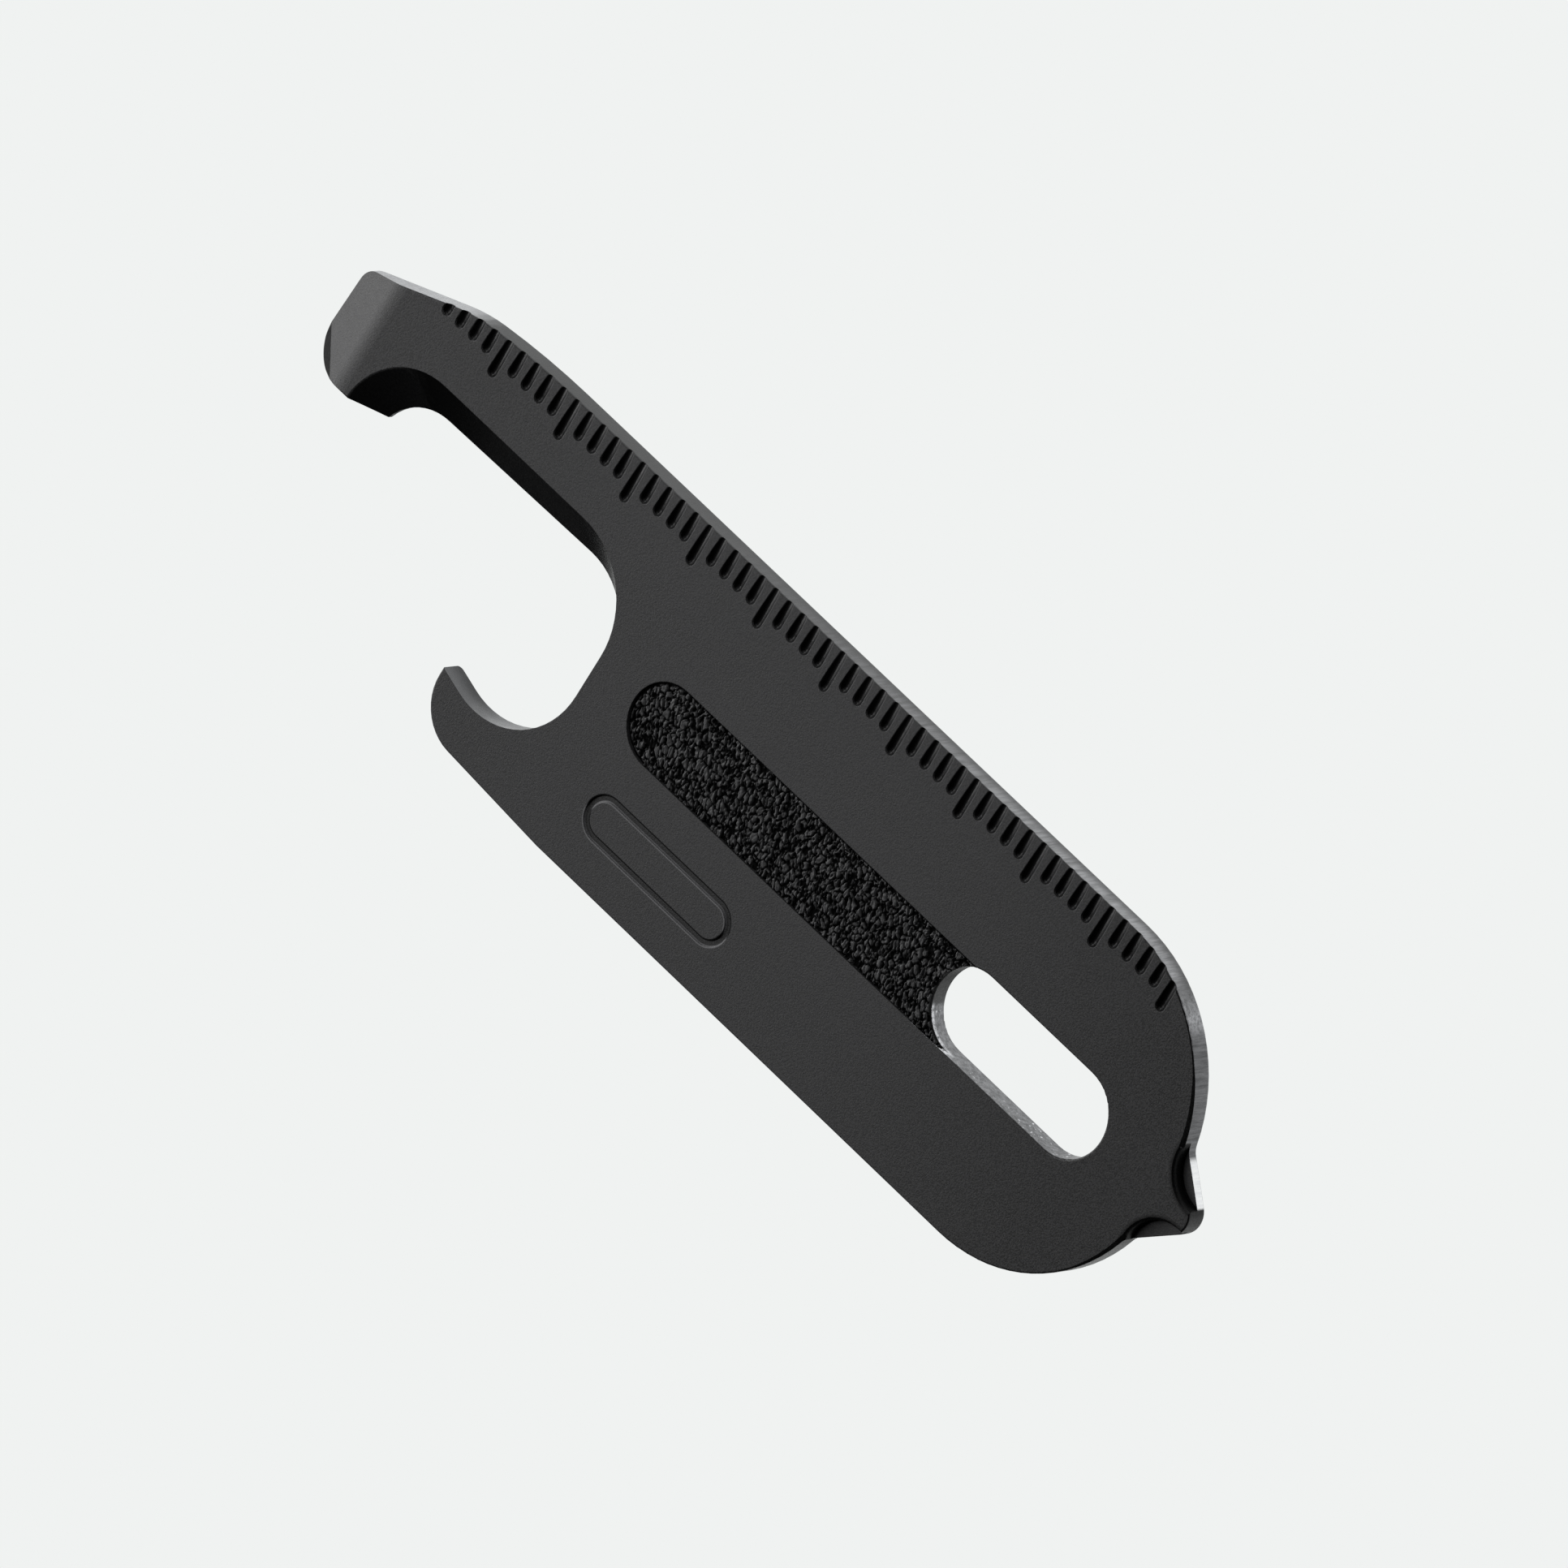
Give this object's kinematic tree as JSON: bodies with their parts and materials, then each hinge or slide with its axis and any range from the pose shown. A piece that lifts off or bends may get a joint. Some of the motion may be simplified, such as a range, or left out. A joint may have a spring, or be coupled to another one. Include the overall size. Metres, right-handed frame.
{
  "type": "pocket bottle opener multi-tool",
  "caption": "Flat steel pocket tool: hooked bottle-opener throat, screwdriver blade, ruler edge, post slot with textured grip strip, pointed package opener.",
  "frame": {"origin": "centre of the post slot on the back face", "axes": "+X along the tool towards the package opener, +Y towards the ruler edge, +Z out of the marked face"},
  "size_m": [0.0674, 0.0196, 0.0015],
  "materials": {
    "coated_steel": "bead-blasted satin black coating, worn to bare steel on the package opener and along the cut side walls",
    "grip_strip": "matt black, coarse elongated grain"
  },
  "bodies": {
    "root": {"tool_body": "coated_steel", "grip_inlay": "grip_strip"}
  },
  "joints": []
}
